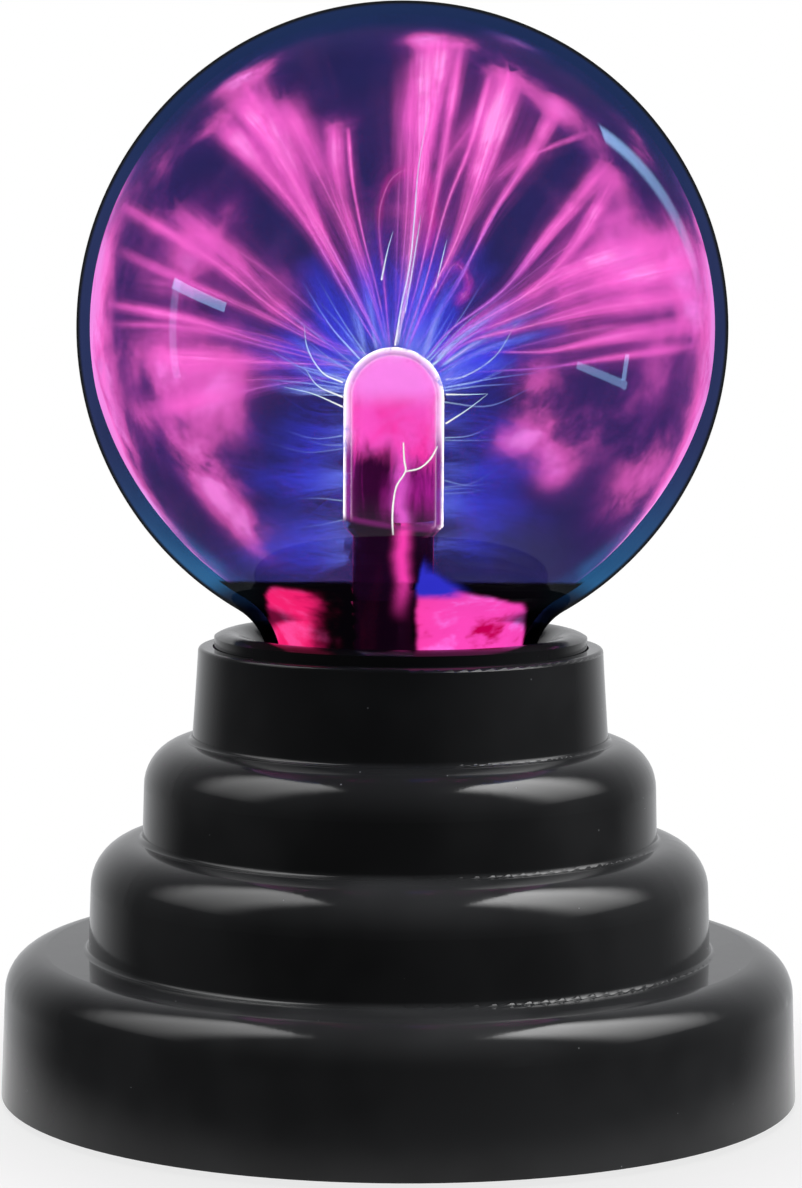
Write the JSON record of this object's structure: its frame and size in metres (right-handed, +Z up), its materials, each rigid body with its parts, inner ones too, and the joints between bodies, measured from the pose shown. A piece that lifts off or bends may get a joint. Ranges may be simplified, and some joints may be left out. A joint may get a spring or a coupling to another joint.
{
  "type": "plasma ball",
  "caption": "Glass plasma globe lit by an inner electrode, on a round stepped black base with a slide switch and power inlet at the back.",
  "frame": {"origin": "on the table at the centre of the round base, at the bottom of the rubber feet", "axes": "+Z up along the base's and globe's axis, front faces -Y, switch and power inlet at +Y"},
  "size_m": [0.099, 0.099, 0.1355],
  "materials": {
    "shell_black": "high-gloss black ABS moulding",
    "ring_black": "gloss black ABS moulding",
    "gasket_rubber": "matt black soft rubber",
    "bond_silicone": "cured silicone adhesive",
    "globe_glass": "polished blue-tinted glass",
    "finger_glass": "clear glass tube, lit pink from inside",
    "stem_glass": "clear worked glass",
    "electrode_filling": "dark conductive filling",
    "rod_brass": "drawn brass wire",
    "plug_cement": "matt cement",
    "cover_black": "fine-textured black ABS",
    "screw_steel": "zinc-plated steel",
    "foot_rubber": "matt black rubber",
    "board_green": "green solder mask on glass fibre",
    "ferrite": "matt grey ferrite",
    "bobbin_plastic": "natural nylon",
    "winding_wire": "enamelled copper wire",
    "lead_tin": "tinned wire",
    "sink_aluminium": "extruded aluminium",
    "package_black": "matt epoxy",
    "capacitor_blue": "shrink-sleeved aluminium can",
    "film_brown": "dipped epoxy",
    "resistor_tan": "lacquered ceramic",
    "jack_black": "black moulding",
    "pin_plated": "nickel-plated brass",
    "switch_steel": "pressed tin-plated steel",
    "knob_black": "fine-textured black ABS",
    "wiper_brass": "sprung brass strip",
    "lead_white": "silicone insulation",
    "lead_black": "black PVC insulation",
    "lead_red": "red PVC insulation"
  },
  "bodies": {
    "base": {"base_shell": "shell_black", "neck_ring": "ring_black", "neck_gasket": "gasket_rubber", "neck_bond": "bond_silicone", "globe_envelope": "globe_glass", "electrode_tube": "finger_glass", "stem_flare": "stem_glass", "exhaust_tip": "stem_glass", "electrode_core": "electrode_filling", "contact_rod": "rod_brass", "stem_plug": "plug_cement", "bottom_cover": "cover_black", "cover_screws": "screw_steel", "board_screws": "screw_steel", "heat_sink_screw": "screw_steel", "switch_screws": "screw_steel", "rubber_feet": "foot_rubber", "circuit_board": "board_green", "transformer_core": "ferrite", "transformer_bobbin": "bobbin_plastic", "primary_winding": "winding_wire", "secondary_winding": "winding_wire", "transformer_pins": "lead_tin", "transistor_leads": "lead_tin", "chip_leads": "lead_tin", "resistor_leads": "lead_tin", "jack_terminals": "lead_tin", "switch_terminals": "lead_tin", "heat_sink": "sink_aluminium", "drive_transistor": "package_black", "timer_chip": "package_black", "filter_capacitors": "capacitor_blue", "film_capacitor": "film_brown", "resistors": "resistor_tan", "power_jack": "jack_black", "jack_pin": "pin_plated", "switch_housing": "switch_steel", "high_voltage_lead": "lead_white", "supply_wire_black": "lead_black", "supply_wire_red": "lead_red", "switched_wire": "lead_red"},
    "switch": {"switch_knob": "knob_black", "switch_wiper": "wiper_brass"}
  },
  "joints": [
    {"name": "power_switch", "type": "slide", "parent": "base", "child": "switch", "axis": [-1, 0, 0], "range_m": [0, 0.003]}
  ]
}
